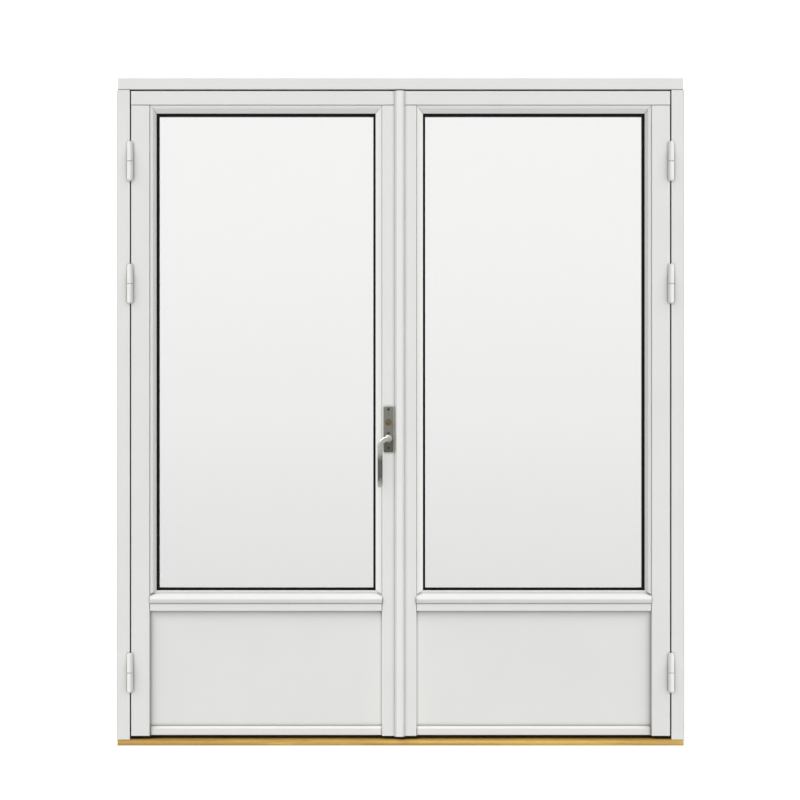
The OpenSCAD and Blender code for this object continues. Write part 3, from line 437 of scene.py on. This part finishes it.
def easedCopy(name, material, openEnds=(), settings=easing):
    source = nodes[name]
    shape = bmesh.new()
    shape.from_mesh(source.data)
    bmesh.ops.remove_doubles(shape, verts=shape.verts, dist=settings["merge"])
    low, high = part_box(name)
    for end in openEnds:  # draws the front of this end back from its neighbour
        axis = "xyz".index(end[0])
        limit, way = (high[axis], -1) if end[1] == "+" else (low[axis], 1)
        tip = [v for v in shape.verts
            if abs(v.co[axis] - limit) < settings["endReach"] and v.co.y < low[1] + settings["jointDepth"]]
        step = [0, 0, 0]
        step[axis] = way * settings["jointGap"]
        bmesh.ops.translate(shape, vec=step, verts=tip)
    bmesh.ops.dissolve_limit(shape, angle_limit=radians(settings["flat"]), use_dissolve_boundaries=False,
        verts=shape.verts, edges=shape.edges)
    for face in shape.faces:
        face.smooth = True
    mesh = bpy.data.meshes.new(name + "_eased")
    shape.to_mesh(mesh)
    shape.free()
    mesh.materials.append(material)
    piece = bpy.data.objects.new(name + "_eased", mesh)
    bpy.context.scene.collection.objects.link(piece)
    bevel = piece.modifiers.new("eased edges", "BEVEL")
    bevel.width = settings["width"]
    bevel.segments = settings["segments"]
    bevel.limit_method = "ANGLE"
    bevel.angle_limit = radians(settings["angle"])
    bevel.miter_outer = "MITER_ARC"
    weighted = piece.modifiers.new("flat faces", "WEIGHTED_NORMAL")
    weighted.keep_sharp = True
    weighted.weight = settings["faceWeight"]
    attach(piece, source["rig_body"])
    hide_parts(name)


easedCopy("frame_head", levelPaint)
easedCopy("frame_jamb_left", uprightPaint, ["z+"])
easedCopy("frame_jamb_right", uprightPaint, ["z+"])
easedCopy("astragal", mouldingPaint)
easedCopy("rear_lip", uprightPaint)
for side in ("left_", "right_"):
    for part in ("hinge_stile", "meeting_stile"):
        easedCopy(side + part, uprightPaint, ["z+"])
    for part in ("bead_hinge_side", "bead_meeting_side"):
        easedCopy(side + part, uprightPaint)
    for part in ("mid_rail", "bottom_rail"):
        easedCopy(side + part, levelPaint, ["x+", "x-"])
    for part in ("top_rail", "bead_top", "drip_bead"):
        easedCopy(side + part, levelPaint)
    easedCopy(side + "lower_panel", boardPaint)
easedCopy("threshold", oak)
print("timber eased")

finishes = {  # every other fitting is steel
    "frame_seal": rubber, "left_gaskets": rubber, "right_gaskets": rubber, "meeting_seal": rubber,
    "left_spacer": spacerBlack, "right_spacer": spacerBlack,
    "left_outer_pane": glass, "left_inner_pane": glass, "right_outer_pane": glass, "right_inner_pane": glass,
    "left_frame_hinges": hingePaint, "right_frame_hinges": hingePaint,
    "left_leaf_hinges": hingePaint, "right_leaf_hinges": hingePaint,
    "handle_plate": plateNickel, "handle_grip": gripNickel, "handle_screws": screwMetal,
    "lock_cylinder": bronze, "lock_plug": brass, "drive_gear": brass,
}
for name, node in nodes.items():
    if node.hide_render:
        continue
    node.data.materials.clear()
    node.data.materials.append(finishes.get(name, steel))
print("finishes given")

floorSettings = {
    "size": 5.0, "sides": 96, "drop": 0.0005,
    "colour": (0.36, 0.36, 0.357), "dusty": 0.98, "dustScale": 3, "dustEdges": (0.3, 0.7),
    "glow": 0.81, "lift": 0.385,  # the light it gives to the picture and to the object
}


def makeFloor(settings):
    shape = bmesh.new()
    bmesh.ops.create_circle(shape, cap_ends=True, segments=settings["sides"], radius=settings["size"])
    bmesh.ops.translate(shape, vec=(0, 0, cadBox[0].z - settings["drop"]), verts=shape.verts)
    mesh = bpy.data.meshes.new("studio_floor")
    shape.to_mesh(mesh)
    shape.free()
    floor = bpy.data.objects.new("studio_floor", mesh)
    bpy.context.scene.collection.objects.link(floor)
    material, tree, shader, place = newMaterial("pale floor")
    tree.nodes.remove(shader)
    dust = noiseAt(tree, place, settings["dustScale"])
    dusty = tuple(channel * settings["dusty"] for channel in settings["colour"])
    matt = tree.nodes.new("ShaderNodeBsdfDiffuse")
    colour = blendColours(tree, dust, (settings["colour"], dusty), settings["dustEdges"])
    tree.links.new(colour, matt.inputs["Color"])
    glow = tree.nodes.new("ShaderNodeEmission")
    path = tree.nodes.new("ShaderNodeLightPath")
    strength = spread(tree, path.outputs["Is Camera Ray"], settings["lift"], settings["glow"], 0, 1)
    tree.links.new(strength, glow.inputs["Strength"])
    both = tree.nodes.new("ShaderNodeAddShader")
    tree.links.new(matt.outputs["BSDF"], both.inputs[0])
    tree.links.new(glow.outputs["Emission"], both.inputs[1])
    tree.links.new(both.outputs["Shader"], tree.nodes["Material Output"].inputs["Surface"])
    mesh.materials.append(material)
    return floor


worldSettings = {  # backdrop and mirror: slope above the horizon, brightness
    "backdrop": ((-0.060, 1.025), (-0.030, 1.085), (0.0, 1.145), (0.050, 1.205), (0.100, 1.230)),
    "mirror": ((-0.5, 0.20), (0.0, 0.33), (0.15, 0.33), (0.6, 0.95)),  # what polished faces reflect
    "skyFront": 1.335, "skySide": 0.30, "skyFocus": 3.0, "skyBelow": 0.80, "horizon": 0.1,  # lights matt faces
}


def greyRamp(tree, value, points):
    low, high = points[0][0], points[-1][0]
    top = max(brightness for slope, brightness in points)
    greys = [(brightness / top,) * 3 for slope, brightness in points]
    stops = [(slope - low) / (high - low) for slope, brightness in points]
    return blendColours(tree, spread(tree, value, 0.0, 1.0, low, high), greys, stops), top


def makeWorld(settings):
    world = bpy.data.worlds.new("studio")
    bpy.context.scene.world = world
    world.use_nodes = True
    tree = world.node_tree
    tree.nodes.clear()
    place = tree.nodes.new("ShaderNodeTexCoord")
    parts = tree.nodes.new("ShaderNodeSeparateXYZ")
    tree.links.new(place.outputs["Generated"], parts.inputs["Vector"])
    ahead = combine(tree, "POWER", combine(tree, "ABSOLUTE", parts.outputs["Y"]), settings["skyFocus"])
    around = spread(tree, ahead, settings["skySide"], settings["skyFront"], 0, 1)
    horizon = settings["horizon"]
    height = spread(tree, parts.outputs["Z"], settings["skyBelow"], 1.0, -horizon, horizon)
    sky = combine(tree, "MULTIPLY", around, height)
    backdrop, backdropTop = greyRamp(tree, parts.outputs["Z"], settings["backdrop"])
    mirror, mirrorTop = greyRamp(tree, parts.outputs["Z"], settings["mirror"])

    def background(strength, socket, value):
        node = tree.nodes.new("ShaderNodeBackground")
        node.inputs["Color"].default_value = (1, 1, 1, 1)
        node.inputs["Strength"].default_value = strength
        tree.links.new(value, node.inputs[socket])
        return node.outputs["Background"]

    path = tree.nodes.new("ShaderNodeLightPath")
    shown = background(backdropTop, "Color", backdrop)
    for ray, seen in (("Is Glossy Ray", background(mirrorTop, "Color", mirror)),
            ("Is Diffuse Ray", background(1.0, "Strength", sky))):
        mix = tree.nodes.new("ShaderNodeMixShader")
        tree.links.new(path.outputs[ray], mix.inputs["Fac"])
        tree.links.new(shown, mix.inputs[1])
        tree.links.new(seen, mix.inputs[2])
        shown = mix.outputs["Shader"]
    output = tree.nodes.new("ShaderNodeOutputWorld")
    tree.links.new(shown, output.inputs["Surface"])


lampSettings = {
    "key": 2.1, "keyAim": (0.26, 0.20, -0.34), "rear": 0.8, "rearAim": (-0.20, -0.50, -0.12),
    "softness": 42, "distance": 8,
    "rightBodies": ("right_leaf", "upper_bolt", "lower_bolt"),  # the left and right halves mirror each other
}


def softSun(name, aim, power, receivers, blockers, settings=lampSettings):  # lights only the pieces it is given
    data = bpy.data.lights.new(name, "SUN")
    data.energy = power
    data.angle = radians(settings["softness"])
    lamp = bpy.data.objects.new(name, data)
    bpy.context.scene.collection.objects.link(lamp)
    lamp.location = Vector(aim) * -settings["distance"]
    lamp.rotation_euler = Vector(aim).to_track_quat("-Z", "Y").to_euler()
    for job, pieces in (("receiver", receivers), ("blocker", blockers)):
        group = bpy.data.collections.new(name + " " + job + "s")
        for piece in pieces:
            group.objects.link(piece)
        setattr(lamp.light_linking, job + "_collection", group)


def makeLamps(floor, settings):
    leftHalf, rightHalf, middle, solidPieces = [], [], [], []
    for piece in bpy.data.objects:
        if piece.type != "MESH" or piece == floor or piece.name.endswith("_pane"):
            continue
        if not piece.name.startswith("handle_") and not piece.name.endswith("_hinges"):
            solidPieces.append(piece)  # the small fittings throw no hard shadow
        if piece.name.startswith("astragal"):
            middle.append(piece)
        elif "jamb_left" in piece.name:  # each jamb is lit from its inner side
            rightHalf.append(piece)
        elif piece.name.startswith("right_") or piece.get("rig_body") in settings["rightBodies"]:
            rightHalf.append(piece)
        else:
            leftHalf.append(piece)
    x, y, z = settings["keyAim"]
    for name, aim, pieces in (("left key", (x, y, z), leftHalf), ("right key", (-x, y, z), rightHalf),
            ("middle key", (0, y, z), middle)):
        softSun(name, aim, settings["key"], pieces, solidPieces)
    softSun("rear key", settings["rearAim"], settings["rear"], leftHalf + rightHalf + middle, solidPieces)


floor = makeFloor(floorSettings)
makeWorld(worldSettings)
makeLamps(floor, lampSettings)
scene = bpy.context.scene
scene.view_settings.view_transform = "Standard"
scene.view_settings.look = "None"
print("studio made")
